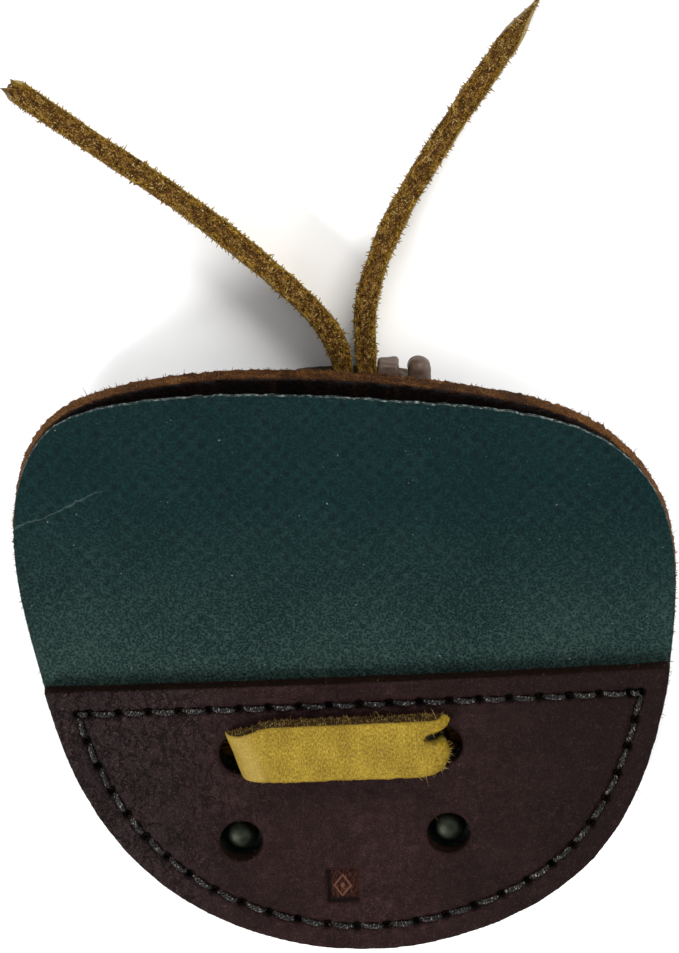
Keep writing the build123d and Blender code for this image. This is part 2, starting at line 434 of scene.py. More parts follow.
class Paint:
    def __init__(self, name, **constants):
        self.material = bpy.data.materials.new(name)
        self.material.use_nodes = True
        self.tree = self.material.node_tree
        self.shader = self.tree.nodes["Principled BSDF"]
        self.set(**constants)

    def set(self, **sockets):
        for name, value in sockets.items():
            self.feed(self.shader.inputs[name.replace("_", " ")], value)

    def feed(self, socket, value):
        if isinstance(value, Link):
            self.tree.links.new(value.socket, socket)
        else:
            socket.default_value = value

    def node(self, kind, settings=None, values=None, out=0):
        made = self.tree.nodes.new(kind)
        for key, value in (settings or {}).items():
            if key == "stops":
                ramp = made.color_ramp
                while len(ramp.elements) < len(value):
                    ramp.elements.new(0.5)
                for element, (place, colour) in zip(ramp.elements, value):
                    element.position = place
                    element.color = colour
            else:
                setattr(made, key, value)
        for key, value in (values or {}).items():
            self.feed(made.inputs[key], value)
        return Link(self, made.outputs[out])

    def maths(self, operation, a, b, clamp=False):
        return self.node("ShaderNodeMath", {"operation": operation, "use_clamp": clamp}, {0: a, 1: b})

    def clamp(self, value):
        return self.maths("ADD", value, 0.0, clamp=True)

    def absolute(self, value):
        return self.maths("ABSOLUTE", value, 0)

    def axis(self, place, number):
        # one of the three coordinates of a place
        return self.node("ShaderNodeSeparateXYZ", {}, {0: place}, out=number)

    def blendOf(self, factor, a, b):
        # the colour a where factor is 0, and b where it is 1
        return self.node("ShaderNodeMix", {"data_type": "RGBA", "clamp_factor": True},
                         {0: factor, 6: a, 7: b}, out=2)

    def place(self, stretch=(1, 1, 1), turn=0.0, coordinates="Object"):
        return self.node("ShaderNodeMapping", {}, {
            "Vector": self.node("ShaderNodeTexCoord", out=coordinates),
            "Rotation": (0, 0, turn), "Scale": stretch,
        })

    def lumps(self, size, place, detail=3, roughness=0.55, distortion=0.0):
        # noise with lumps of the given size in metres
        return self.node("ShaderNodeTexNoise", {}, {
            "Vector": place, "Scale": 1 / size, "Detail": detail,
            "Roughness": roughness, "Distortion": distortion,
        }, out="Fac")

    def pebbles(self, size, place):
        return self.node("ShaderNodeTexVoronoi", {"feature": "F1"}, {
            "Vector": place, "Scale": 1 / size, "Randomness": 1.0,
        }, out="Distance")

    def between(self, value, low, high):
        # 0 below low, 1 above high
        return self.node("ShaderNodeMapRange", {"clamp": True, "interpolation_type": "SMOOTHSTEP"},
                         {"Value": value, "From Min": low, "From Max": high})

    def ramp(self, value, stops):
        return self.node("ShaderNodeValToRGB", {"stops": stops}, {"Fac": value})

    def value(self, name):
        return self.node("ShaderNodeAttribute", {"attribute_name": name}, out="Fac")

    def relief(self, height, depth, strength=1.0):
        return self.node("ShaderNodeBump", {}, {"Height": height, "Distance": depth, "Strength": strength})


def moonLeather(stampMiddle):
    paint = Paint("moonLeather", Specular_IOR_Level=0.05)
    at = paint.place()
    cloud = paint.lumps(9 * mm, at, 4)
    mottle = paint.lumps(1.1 * mm, at, 5, 0.7)
    folds = paint.lumps(1.5 * mm, paint.place((1, 0.6, 1), 0.4), 5, 0.66, 0.5)
    crease = 1 - paint.between(paint.absolute(folds - 0.5), 0.0, 0.035)
    leftToRight = paint.axis(at, 0)
    footToLace = paint.axis(at, 1)
    leftward = 1 - paint.between(leftToRight, -27 * mm, -8 * mm)
    rightward = paint.between(leftToRight, 2 * mm, 32 * mm)
    scuffs = paint.lumps(0.6 * mm, paint.place((1.8, 0.5, 1), 0.9), 5, 0.75, 1.2)
    scuffs = paint.between(scuffs, 0.63, 0.7)
    wrinkled = paint.lumps(9 * mm, paint.place((1, 0.8, 1)), 3)
    wrinkled = paint.between(wrinkled + leftward * 0.26, 0.5, 0.68) * (0.2 + leftward * 0.8)
    grain = paint.pebbles(0.33 * mm, at)
    fine = paint.lumps(0.12 * mm, at, 3, 0.7)
    cut, hole, stamp = (paint.value(name) for name in ("cut", "hole", "stamp"))
    face = paint.ramp(cloud * 0.2 + mottle * 0.3 + fine * 0.5, [
        (0.37, srgb(18, 4, 4)), (0.5, srgb(38, 18, 18)), (0.62, srgb(68, 46, 45))])
    # painted sheen: the leather turns lighter and bluish grey towards the left
    face = paint.blendOf(leftward * 0.3, face, srgb(40, 37, 41))
    face = paint.blendOf(rightward * 0.6, face, srgb(19, 5, 5))
    # painted shade in the creases, stronger where the leather is wrinkled
    face = paint.blendOf(crease * (0.05 + wrinkled * 0.6), face, srgb(12, 4, 4))
    # painted glints: light specks on the grain, more of them where the leather is wrinkled
    paintedGlint = paint.between(fine + (grain - 0.5) * 0.2, 0.57, 0.67) * (0.28 + wrinkled * 0.45)
    face = paint.blendOf(paintedGlint, face, srgb(104, 84, 80))
    face = paint.blendOf(scuffs * 0.5, face, srgb(104, 82, 78))
    # the stamp: a plain square with a diamond in it
    pressed = paint.ramp(paint.lumps(0.3 * mm, paint.place((1.6, 0.5, 1)), 4, 0.7), [
        (0.4, srgb(28, 6, 3)), (0.52, srgb(50, 20, 13)), (0.64, srgb(96, 58, 42))])
    diamond = paint.absolute(leftToRight - stampMiddle.x) * (1 / (1.2 * mm))
    diamond = diamond + paint.absolute(footToLace - stampMiddle.y) * (1 / (1.6 * mm))
    line = 1 - paint.between(paint.absolute(diamond - 0.85), 0.04, 0.17)
    line = line + (1 - paint.between(diamond, 0.2, 0.32))
    pressed = paint.blendOf(line * 0.55, pressed, srgb(136, 94, 72))
    face = paint.blendOf(stamp, face, pressed)
    # painted shade along the stamp's left and lower walls
    face = paint.blendOf(paint.value("wall"), face, srgb(9, 2, 2))
    raw = paint.ramp(paint.lumps(0.35 * mm, paint.place((1, 1, 2.5)), 5, 0.7), [
        (0.34, srgb(10, 5, 3)), (0.52, srgb(26, 14, 9)), (0.7, srgb(66, 40, 24))])
    colour = paint.blendOf(cut, face, raw)
    # painted shade: near-black in and around the stitch holes
    paint.set(Base_Color=paint.blendOf(hole, colour, srgb(3, 2, 2)))
    paint.set(Roughness=paint.clamp(0.52 + cut * 0.3 + (mottle - 0.5) * 0.4))
    height = grain * 0.35 + fine * 0.45 + mottle * 0.6 + scuffs * 0.3 - crease * (0.1 + wrinkled * 0.8)
    paint.set(Normal=paint.relief(height, 0.17 * mm, 1.0))
    return paint.material


def panelLeather():
    paint = Paint("panelLeather", Specular_IOR_Level=0.1)
    at = paint.place()
    cut, inner = paint.value("cut"), paint.value("inner")
    rear = paint.ramp(paint.lumps(1.6 * mm, at, 6, 0.65), [
        (0.34, srgb(40, 22, 14)), (0.5, srgb(60, 36, 24)), (0.66, srgb(82, 54, 38))])
    # painted shade: the inner face, which shows only down in the mouth, is near-black
    dark = paint.ramp(paint.lumps(1.2 * mm, paint.place((1, 0.4, 1)), 5, 0.65), [
        (0.34, srgb(4, 1, 0)), (0.52, srgb(12, 4, 2)), (0.68, srgb(36, 18, 9))])
    fibres = paint.lumps(0.22 * mm, paint.place((1, 1, 1.6)), 6, 0.75)
    streak = paint.lumps(2.5 * mm, at, 3)
    lit = paint.value("corner")
    raw = paint.ramp(fibres * 0.7 + streak * 0.3, [
        (0.38, srgb(20, 8, 2)), (0.48, srgb(66, 36, 12)),
        (0.57, srgb(124, 78, 32)), (0.66, srgb(200, 150, 90))])
    # painted light on the cut rim, stronger towards the corners
    raw = paint.blendOf(lit * paint.between(fibres, 0.42, 0.58) * 0.6, raw, srgb(168, 110, 50))
    paint.set(Base_Color=paint.blendOf(cut, paint.blendOf(inner, rear, dark), raw))
    paint.set(Roughness=paint.clamp(0.6 + cut * 0.3 - inner * 0.1))
    grain = paint.pebbles(0.45 * mm, at)
    paint.set(Normal=paint.relief(grain * 0.4 + fibres * (0.4 + cut * 1.6), 0.2 * mm, 0.8))
    return paint.material


def tarpaulin():
    paint = Paint("tarpaulin", Specular_IOR_Level=0.05)
    at = paint.place()
    across = paint.axis(at, 0)
    up = paint.axis(at, 1)
    waves = 2 * math.pi / (2.3 * mm)
    wobble = paint.lumps(5 * mm, at, 3) * 5.0
    one = paint.maths("SINE", across * waves + wobble, 0)
    two = paint.maths("SINE", up * waves + wobble, 0)
    patchy = paint.lumps(3 * mm, at, 3)
    weave = paint.between(one * two, -0.3, 1.0) * paint.between(patchy, 0.35, 0.6)
    cloud = paint.lumps(12 * mm, at, 3)
    pebble = paint.pebbles(0.3 * mm, at)
    fine = paint.lumps(0.065 * mm, at, 2, 0.75)
    high = paint.between(up, -10 * mm, 24 * mm)
    edge = paint.value("cut")
    tone = cloud * 0.12 + fine * 0.6 + pebble * 0.28
    # painted sheen: the lighter, greyer lower ramp takes over towards the foot
    upper = paint.ramp(tone, [(0.33, srgb(1, 24, 26)), (0.46, srgb(6, 36, 37)), (0.6, srgb(20, 55, 54))])
    lower = paint.ramp(tone, [(0.33, srgb(6, 24, 23)), (0.46, srgb(23, 45, 43)), (0.6, srgb(68, 90, 82))])
    face = paint.blendOf(high, lower, upper)
    face = paint.blendOf(weave * (0.12 + high * 0.5), face, srgb(1, 19, 23))
    specks = paint.between(paint.lumps(0.5 * mm, at, 1), 0.79, 0.8)
    face = paint.blendOf(specks, face, srgb(128, 140, 134))
    nicks = paint.lumps(0.7 * mm, paint.place((0.5, 1.6, 1), 0.6), 4, 0.7, 1.5)
    nicks = 1 - paint.between(paint.absolute(nicks - 0.5), 0.0, 0.01)
    nicks = nicks * paint.between(patchy, 0.5, 0.62)
    face = paint.blendOf(nicks * 0.35, face, srgb(84, 110, 100))
    # one long scratch near the left edge
    scratch = paint.absolute(up - across * 0.5 - 36.8 * mm + (patchy - 0.5) * 2 * mm)
    scratch = 1 - paint.between(scratch, 0.02 * mm, 0.17 * mm)
    scratch = scratch * (1 - paint.between(across, -31 * mm, -28.5 * mm))
    face = paint.blendOf(scratch * paint.between(fine, 0.4, 0.6) * 0.55, face, srgb(110, 132, 122))
    core = paint.ramp(paint.lumps(0.5 * mm, at, 4, 0.7), [
        (0.42, srgb(20, 40, 42)), (0.54, srgb(70, 84, 82)), (0.64, srgb(170, 180, 176))])
    # painted shade: dark where it only shows down in the two windows
    windowShade = 1 - paint.between(up, -16 * mm, -13 * mm)
    face = paint.blendOf(windowShade * 0.85, face, srgb(3, 7, 7))
    paint.set(Base_Color=paint.blendOf(edge, face, core))
    paint.set(Roughness=paint.clamp(0.58 + (fine - 0.5) * 0.5 + edge * 0.3))
    paint.set(Normal=paint.relief(pebble * 0.5 + fine * 0.8 + weave * 0.7, 0.1 * mm, 1.0))
    return paint.material


def laceLeather():
    paint = Paint("laceLeather", Specular_IOR_Level=0.15)
    lie = paint.place((1, 1, 1), 0.0, "UV")
    strands = paint.lumps(0.13 * mm, paint.place((0.45, 1, 1), 0.35, "UV"), 5, 0.75, 1.2)
    tufts = paint.lumps(0.7 * mm, paint.place((0.6, 1, 1), 0.0, "UV"), 4, 0.7)
    pebble = paint.pebbles(0.26 * mm, lie)
    fine = paint.lumps(0.2 * mm, lie, 3, 0.6)
    soft = paint.lumps(2.5 * mm, lie, 3)
    cut, core, grain, grime = (paint.value(name) for name in ("cut", "core", "grain", "grime"))
    smoothSide = paint.ramp(soft * 0.3 + fine * 0.7, [
        (0.34, srgb(112, 84, 6)), (0.5, srgb(157, 128, 24)), (0.66, srgb(200, 170, 58))])
    fleshSide = paint.ramp(soft * 0.5 + strands * 0.5, [
        (0.3, srgb(70, 50, 22)), (0.5, srgb(112, 84, 40)), (0.7, srgb(146, 114, 62))])
    gold = paint.ramp(strands * 0.65 + tufts * 0.35, [
        (0.41, srgb(20, 7, 1)), (0.485, srgb(90, 54, 2)),
        (0.54, srgb(164, 116, 12)), (0.6, srgb(242, 200, 92))])
    heart = paint.ramp(strands * 0.65 + tufts * 0.35, [
        (0.41, srgb(16, 5, 1)), (0.485, srgb(80, 44, 3)),
        (0.545, srgb(148, 98, 20)), (0.61, srgb(240, 208, 132))])
    raw = paint.blendOf(paint.between(core + (tufts - 0.5) * 2.5, 0.3, 1.0), gold, heart)
    # painted shade on the strip's upper cut edge
    raw = paint.blendOf(grime, raw, srgb(34, 22, 5))
    # painted highlight on the strip's left fold
    smoothSide = paint.blendOf(paint.value("worn") * 0.45, smoothSide, srgb(198, 168, 84))
    sides = paint.blendOf(grain, fleshSide, smoothSide)
    colour = paint.blendOf(paint.between(cut, 0.35, 0.8), sides, raw)
    # painted shade in the torn end's notch and where it goes down into the hole
    paint.set(Base_Color=paint.blendOf(paint.value("torn"), colour, srgb(10, 6, 2)))
    paint.set(Roughness=paint.clamp(0.55 + cut * 0.3))
    paint.set(Normal=paint.relief(pebble * (1 - cut) * 0.4 + strands * (0.3 + cut * 2.2), 0.16 * mm, 1.0))
    return paint.material


def goldFibre():
    paint = Paint("goldFibre", Specular_IOR_Level=0.2)
    paint.set(Base_Color=paint.ramp(paint.lumps(0.8 * mm, paint.place(), 3), [
        (0.3, srgb(92, 62, 12)), (0.5, srgb(160, 124, 44)), (0.7, srgb(226, 198, 130))]))
    paint.set(Roughness=0.7)
    return paint.material


def knotLeather():
    paint = Paint("knotLeather", Specular_IOR_Level=0.4)
    at = paint.place()
    soft = paint.lumps(1.5 * mm, at, 5, 0.6)
    paint.set(Base_Color=paint.ramp(soft, [
        (0.3, srgb(70, 50, 36)), (0.5, srgb(98, 76, 60)), (0.7, srgb(124, 100, 82))]))
    paint.set(Roughness=paint.clamp(0.45 + soft * 0.2))
    paint.set(Normal=paint.relief(paint.pebbles(0.4 * mm, at) * 0.4 + soft, 0.08 * mm, 0.7))
    return paint.material


def threadFibre():
    paint = Paint("threadFibre", Specular_IOR_Level=0.2)
    at = paint.place()
    fibres = paint.lumps(0.22 * mm, paint.place((1.7, 0.5, 1), 0.6), 3, 0.7)
    # dark and light dashes along the twist: painted shade between the plies and painted glints on them
    paint.set(Base_Color=paint.ramp(fibres, [
        (0.51, srgb(1, 1, 1)), (0.565, srgb(14, 11, 11)),
        (0.605, srgb(74, 68, 65)), (0.65, srgb(196, 188, 180))]))
    paint.set(Roughness=paint.clamp(0.3 + fibres * 0.3))
    paint.set(Normal=paint.relief(fibres, 0.05 * mm, 0.8))
    return paint.material


def looseFibre():
    paint = Paint("looseFibre", Specular_IOR_Level=0.2)
    paint.set(Base_Color=paint.ramp(paint.lumps(1.5 * mm, paint.place(), 3), [
        (0.3, srgb(62, 36, 16)), (0.5, srgb(112, 74, 36)), (0.7, srgb(168, 126, 74))]))
    paint.set(Roughness=0.7)
    return paint.material


def blackNickel():
    paint = Paint("blackNickel", Metallic=1.0)
    at = paint.place()
    tarnish = paint.lumps(1.2 * mm, at, 5, 0.6)
    paint.set(Base_Color=paint.ramp(tarnish, [
        (0.3, srgb(46, 49, 42)), (0.55, srgb(66, 70, 60)), (0.75, srgb(86, 90, 79))]))
    paint.set(Roughness=paint.clamp(0.46 + tarnish * 0.16))
    paint.set(Normal=paint.relief(paint.lumps(0.3 * mm, at, 3), 0.01 * mm, 0.5))
    return paint.material


def paperFloor():
    paint = Paint("paperFloor", Specular_IOR_Level=0.1)
    paint.set(Base_Color=paint.ramp(paint.lumps(3 * mm, paint.place(), 2), [
        (0.0, srgb(250, 250, 250, 1)), (1.0, srgb(255, 255, 255, 1))]))
    paint.set(Roughness=0.9)
    return paint.material


# ---- camera: above the pouch, a little towards the lace, with the foot at the bottom

camera = {
    "aim": Vector((-0.7 * mm, 22.45 * mm, 8 * mm)),
    "tilt": math.radians(14),
    "focal": 900,
    "sensor": 36,
    "frameHeight": 116.2 * mm,
}
lens = bpy.data.cameras.new("camera")
lens.lens = camera["focal"]
lens.sensor_width = camera["sensor"]
lens.clip_start = 0.05
lens.clip_end = 200
away = camera["focal"] / camera["sensor"] * camera["frameHeight"]
eye = bpy.data.objects.new("camera", lens)
bpy.context.collection.objects.link(eye)
toEye = Vector((0, math.sin(camera["tilt"]), math.cos(camera["tilt"])))
upward = Vector((0, math.cos(camera["tilt"]), -math.sin(camera["tilt"])))
rightward = upward.cross(toEye)
look = Matrix((rightward, upward, toEye)).transposed().to_4x4()
eye.matrix_world = Matrix.Translation(camera["aim"] + toEye * away) @ look
bpy.context.scene.camera = eye
bpy.context.scene.view_settings.view_transform = "Standard"

# ---- the lace's free ends

tails = {
    "width": 7.7 * mm,
    "shown": 7.3 * mm,          # the worn edges take a little off the width
    "depth": 2.7 * mm,
    "atKnot": 2.35 * mm,        # pressed thinner where the knot grips them
    "middleX": 1.3,
    "gap": 2.8,
    "startY": 32.95,
    "left": [(0.0, 0.0), (-0.15, 3.8), (-3.2, 9.0), (-11.1, 16.1), (-20.5, 23.6),
             (-30.7, 30.3), (-40.8, 37.4)],
    "right": [(0.0, 0.0), (-0.2, 4.8), (-0.4, 10.4), (2.5, 19.4), (7.7, 28.6),
              (14.2, 38.6), (20.9, 48.5)],
    "spacing": 0.3 * mm,
    "tipTaper": {"left": 1.5 * mm, "right": 7.0 * mm},
    "tipDepth": {"left": 0.6, "right": 0.14},
    "tipShrink": 0.08,
    "uneven": 0.06,
    "fuzzed": (5.5 * mm, 37 * mm),      # above this height and past this y
    "spurs": {"count": 1100, "length": 0.3 * mm, "thickness": 0.11 * mm, "slantSize": 0.9,
              "strayShare": 0.01},
}
lacePaint = laceLeather()
goldPaint = goldFibre()
for side, sign in (("left", -1), ("right", 1)):
    startX = tails["middleX"] + sign * tails["gap"] / 2
    route = []
    for x, y in tails[side]:
        route.append(((startX + x) * mm, (tails["startY"] + y) * mm, tails["width"] / 2))
    line, along = evenly(splineLine(route, "lace_route_" + side), tails["spacing"])
    length = along[-1]
    taper = step(0, tails["tipTaper"][side], length - along)
    tipDepth = tails["tipDepth"][side]
    depth = tails["depth"] + (tails["atKnot"] - tails["depth"]) * (1 - step(2 * mm, 8 * mm, along))
    depth = depth * (tipDepth + (1 - tipDepth) * taper)
    depth = depth * (1 + tails["uneven"] * rough(line, 3 * mm, 4 + sign))
    height = tails["shown"] * (1 - tails["tipShrink"] * (1 - taper))
    across = np.tile(np.array(toEye), (len(line), 1))     # the band leans over its lower edge
    name = "lace_tail_" + side + "_leather"
    tail = band(name, line, across, height, depth, seed=3.0 + len(side), corner=0.3 * mm, ragged=0.8 * mm)
    co, facing = points(tail), normals(tail)
    upper = (co[:, 2] > tails["fuzzed"][0]) & (co[:, 1] > tails["fuzzed"][1])
    spurs = hairs("lace_tail_" + side + "_fibres", co[upper], facing[upper],
                  seed=7 + len(side), **tails["spurs"])
    finished(spurs, goldPaint, "lace_leather", inFlat=False)
    finished(tail, lacePaint, "lace_leather", "lace_tail_" + side, inFlat=False)
    print("lace end", side, "length", round(length / mm, 1), "mm")

# ---- back panel

panel = {
    "voxel": 0.4 * mm,
    "rimFuzz": 0.15 * mm,
    "waves": 0.07 * mm,
    "corners": (17 * mm, 34 * mm),      # painted light: the cut rim turns more golden from here outwards
    "hairs": {"count": 3200, "length": 0.3 * mm, "thickness": 0.055 * mm, "slantSize": 0.9,
              "strayShare": 0.012},
}
backPanel = flatCopy("back_panel", "back_panel_leather")
leatherSkin(backPanel, panel["voxel"], 3)
co, facing = points(backPanel), normals(backPanel)
cut = 1 - step(0.55, 0.85, np.abs(facing[:, 2]))
paintValue(backPanel, "cut", cut)
paintValue(backPanel, "inner", step(0.3, 0.6, facing[:, 2]))
paintValue(backPanel, "corner", step(*panel["corners"], np.abs(co[:, 0])))
fuzz = rough(co, 0.6 * mm, 2) + 0.7 * rough(co, 0.3 * mm, 4)
co += facing * (fuzz * cut * panel["rimFuzz"])[:, None]
co += facing * (rough(co, 5 * mm, 8) * (1 - cut) * panel["waves"])[:, None]
setPoints(backPanel, co)
finished(backPanel, panelLeather(), "panel_leather", "back_panel")
fibrePaint = looseFibre()
roots, ways = sideways(co, facing)
rimHairs = hairs("rim_fibres", roots, ways, seed=21, **panel["hairs"])
finished(rimHairs, fibrePaint, "panel_leather")
print("back panel", len(co), "points")

# ---- half-moon

moon = {
    "voxel": 0.27 * mm,
    "stampPlace": (-0.55 * mm, 8.5 * mm),
    "stampSize": (3.6 * mm, 4.1 * mm),
    "stampDepth": 0.55 * mm,
    "stampSlope": 0.3 * mm,
    "stampShade": (0.25 * mm, 0.75 * mm),       # dark along its left and lower walls
    "dimple": 0.3 * mm,
    "dimpleReach": 0.75 * mm,
    "holeDepth": 0.35 * mm,
    "holeReach": (0.46 * mm, 0.74 * mm),
    "hairs": {"count": 220, "length": 0.26 * mm, "thickness": 0.028 * mm, "slantSize": 0.8,
              "strayShare": 0.03},
}


def threadHoles(node):
    # the middles of the legs at the inner end of a thread, in the flat body's frame
    piece = flatCopy(node, "reading")
    co = points(piece)
    end = co[:, 2].min() if co[:, 2].max() > moonTop else co[:, 2].max()
    ends = co[np.abs(co[:, 2] - end) < 0.01 * mm]
    bpy.data.objects.remove(piece)
    middles = []
    while len(ends):
        near = np.linalg.norm(ends - ends[0], axis=1) < 1.0 * mm
        middles.append((ends[near].min(0) + ends[near].max(0)) / 2)
        ends = ends[~near]
    return np.array(middles)


def inOrder(holes, middle):
    # round the half-moon from its left corner to its right one
    u, v = alongMoon(holes)
    turn = np.arctan2(v - middle, u)
    turn = np.where(turn > math.pi / 2, turn - 2 * math.pi, turn)
    return holes[np.argsort(turn)]


topHoles = threadHoles("top_thread_front")
topHoles = topHoles[np.argsort(topHoles[:, 0])]
edgeHoles = inOrder(threadHoles("edge_thread_front"), body["moonHeight"] - body["stitchInset"] + 1 * mm)
topHoles = np.vstack([edgeHoles[:1], topHoles, edgeHoles[-1:]])
print("stitch holes", len(topHoles), len(edgeHoles))


def segmentDistance(co, start, end):
    run = (end - start)[:2]
    t = np.clip(((co[:, :2] - start[:2]) @ run) / (run @ run), 0, 1)
    return np.linalg.norm(co[:, :2] - start[:2] - t[:, None] * run, axis=1), t


def stitchPress(co):
    # how deep the thread presses the leather, and deeper at each hole
    press = np.zeros(len(co))
    for row in (topHoles, edgeHoles):
        for start, end in zip(row, row[1:]):
            gap, t = segmentDistance(co, start, end)
            deeper = 1 + 0.8 * (1 - step(0, 0.22, np.minimum(t, 1 - t)))
            press = np.maximum(press, (1 - step(0.15 * mm, moon["dimpleReach"], gap)) * deeper)
    return press


halfMoon = flatCopy("half_moon", "half_moon_leather")
leatherSkin(halfMoon, moon["voxel"], 4)
co, facing = points(halfMoon), normals(halfMoon)
cut = 1 - step(0.55, 0.85, np.abs(facing[:, 2]))
front = (facing[:, 2] > 0.5).astype(float)
allHoles = np.vstack([topHoles, edgeHoles])
nearest = np.min([np.hypot(co[:, 0] - h[0], co[:, 1] - h[1]) for h in allHoles], axis=0)
# each stitch hole is pressed in and also gets painted shade
hole = (1 - step(*moon["holeReach"], nearest)) * front
co[:, 2] -= stitchPress(co) * moon["dimple"] * front
co[:, 2] -= hole * moon["holeDepth"]
u, v = alongMoon(co)
u, v = u - moon["stampPlace"][0], v - moon["stampPlace"][1]
halfWide, halfHigh = moon["stampSize"][0] / 2, moon["stampSize"][1] / 2
inWidth = 1 - step(0, moon["stampSlope"], np.abs(u) - halfWide)
inHeight = 1 - step(0, moon["stampSlope"], np.abs(v) - halfHigh)
stamp = inWidth * inHeight * front
beside = np.minimum(u + halfWide, v + halfHigh)
# where the stamp's left and lower walls get painted shade
wall = stamp * (1 - step(*moon["stampShade"], beside))
co[:, 2] -= stamp * moon["stampDepth"]
waves = rough(co, 4 * mm, 3) * 0.08 + rough(co, 1.3 * mm, 7) * 0.03
co += facing * (waves * mm * (1 - cut))[:, None]
waves = rough(co, 2.5 * mm, 9) * 0.05 + rough(co, 0.6 * mm, 9) * 0.025
co += facing * (waves * mm * cut)[:, None]
co[:, 2] += bow(co)
setPoints(halfMoon, co)
paintValue(halfMoon, "cut", cut)
paintValue(halfMoon, "hole", hole)
paintValue(halfMoon, "stamp", stamp)
paintValue(halfMoon, "wall", wall)
stampMiddle = leaning @ onMoon(*moon["stampPlace"], moonTop)
finished(halfMoon, moonLeather(stampMiddle), "moon_leather", "half_moon")
roots, ways = sideways(co, facing)
edgeHairs = hairs("half_moon_fibres", roots, ways, seed=33, **moon["hairs"])
finished(edgeHairs, fibrePaint, "moon_leather")
print("half-moon", len(co), "points")

# ---- tarpaulin, one sheet from the foot to the mouth

tarp = {
    "size": 90 * mm,            # of the grid that the sheet is cut from
    "cell": 0.5 * mm,
    "edgeWave": 0.14 * mm,
    "waves": 0.12 * mm,
    "stencilDepth": 12,         # times the panel's thickness
    "bend": (34.5 * mm, 38 * mm),
}
stencil = flatCopy("back_panel", "tarp_stencil")
co = points(stencil)
co[:, 2] = (co[:, 2] - body["panel"] / 2) * tarp["stencilDepth"]
setPoints(stencil, co)
cells = round(tarp["size"] / tarp["cell"])
bpy.ops.object.select_all(action="DESELECT")
bpy.ops.mesh.primitive_grid_add(x_subdivisions=cells, y_subdivisions=cells, size=tarp["size"],
                                location=(0, body["height"] / 2, body["panel"]))
sheet = bpy.context.view_layer.objects.active
sheet.name = "tarpaulin_sheet"
bpy.ops.object.transform_apply(location=True, rotation=True, scale=True)
applied(sheet, "SOLIDIFY", thickness=body["tarp"], offset=1.0)
applied(sheet, "BOOLEAN", operation="INTERSECT", object=stencil, solver="EXACT")
bpy.data.objects.remove(stencil)
co = points(sheet)
u, v = alongMoon(co)
co[:, 2] += bow(co) + rough(co * [1, 1, 0], 11 * mm, 5) * tarp["waves"] * step(36 * mm, 50 * mm, v)
co[:, 1] += rough(co * [1, 0, 0], 1.6 * mm, 6) * tarp["edgeWave"] * step(60 * mm, 70 * mm, v)
setPoints(sheet, co)
only(sheet)
bpy.ops.object.shade_smooth_by_angle(angle=math.radians(40))
layer = sheet.data.attributes.new("cut", "FLOAT", "FACE")
layer.data.foreach_set("value", [float(abs(face.normal.z) < 0.6) for face in sheet.data.polygons])
sheet.data.transform(leaning)
sheet.data.materials.append(tarpaulin())
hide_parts("tarp_lower", "tarp_flap")
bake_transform(sheet)
print("tarpaulin", len(co), "points")

# ---- thread

thread = {
    "radius": 0.18 * mm,
    "rearRadius": 0.15 * mm,
    "turns": 1.9,
    "strands": 3,
    "steps": 16,
    "slant": 0.05,
    "gap": 0.15,                # share of a stitch that each hole takes
    "lift": 0.06 * mm,
}


def stitchLines(holes, height, outward, sink):
    # each stitch is three twisted strands, from one hole up over the leather into the next
    lines = []
    for start, end in zip(holes, holes[1:]):
        run = Vector((end - start)[:2]).to_3d()
        side = run.normalized().cross(Vector((0, 0, 1)))
        slant = thread["slant"] * run.length
        for strand in range(thread["strands"]):
            line = []
            for i in range(thread["steps"] + 1):
                t = i / thread["steps"]
                dip = 1 - math.sin(math.pi * (0.02 + 0.96 * t)) ** 0.4
                angle = 2 * math.pi * (thread["turns"] * t + strand / thread["strands"])
                spread = thread["radius"] * 1.12 * (1 - 0.6 * dip)
                share = thread["gap"] + (1 - 2 * thread["gap"]) * t
                place = Vector((start[0], start[1], 0)) + run * share
                place += side * slant * (t - 0.5)
                lift = bow(np.array([place]))[0] if outward > 0 else 0
                rise = thread["lift"] - dip * sink + math.sin(angle) * spread * 0.8
                place.z = height + lift + outward * rise
                place += side * math.cos(angle) * spread
                line.append((place, 1 - 0.25 * dip))
            lines.append(line)
    return lines


threadPaint = threadFibre()
for name, holes, height, outward, sink, node in (
    ("edge_stitches_front", edgeHoles, moonTop, 1, 0.9 * mm, "edge_thread_front"),
    ("top_stitches_front", topHoles, moonTop, 1, 0.9 * mm, "top_thread_front"),
    ("edge_stitches_rear", edgeHoles, 0.0, -1, 0.5 * mm, "edge_thread_back"),
    ("top_stitches_rear", topHoles, body["panel"] + 0.3 * mm, -1, 0.2 * mm, "top_thread_back"),
):
    radius = thread["radius" if outward > 0 else "rearRadius"]
    piece = curvePiece(name, stitchLines(holes, height, outward, sink), radius)
    finished(piece, threadPaint, "thread", node)
print("stitches", len(edgeHoles) + len(topHoles) - 2)

# ---- lace across the front, through the body and up behind it

lace = {
    "width": 7.7 * mm,
    "shown": 7.5 * mm,
    "depth": 2.7 * mm,
    "row": 26.4 * mm,
    "aboveRow": 0.8 * mm,
    "holes": 12.3 * mm,
    "waist": 4.5 * mm,
    "half": 3.85,               # half the width, for the shapes of the ends
    "notch": 1.2,               # the middle of the notch in the torn end, above the strip's middle
    "tornEnd": [(-3.85, -1.9), (-3.2, -0.9), (-2.2, -0.3), (-1.1, -0.15), (-0.2, -0.5), (0.5, -0.8),
                (1.2, -1.5), (1.8, -0.9), (2.4, -0.3), (3.0, 0.1), (3.85, -0.9)],
}
frontRoute = [
    (-12.6, 2.2), (-12.65, 5.4), (-12.9, 8.0), (-10.6, 8.45), (-5.0, 8.3),
    (2.0, 8.3), (8.0, 8.35), (11.2, 8.4), (12.0, 8.3), (12.25, 7.2), (12.2, 5.0), (12.2, 2.2),
]
route = []
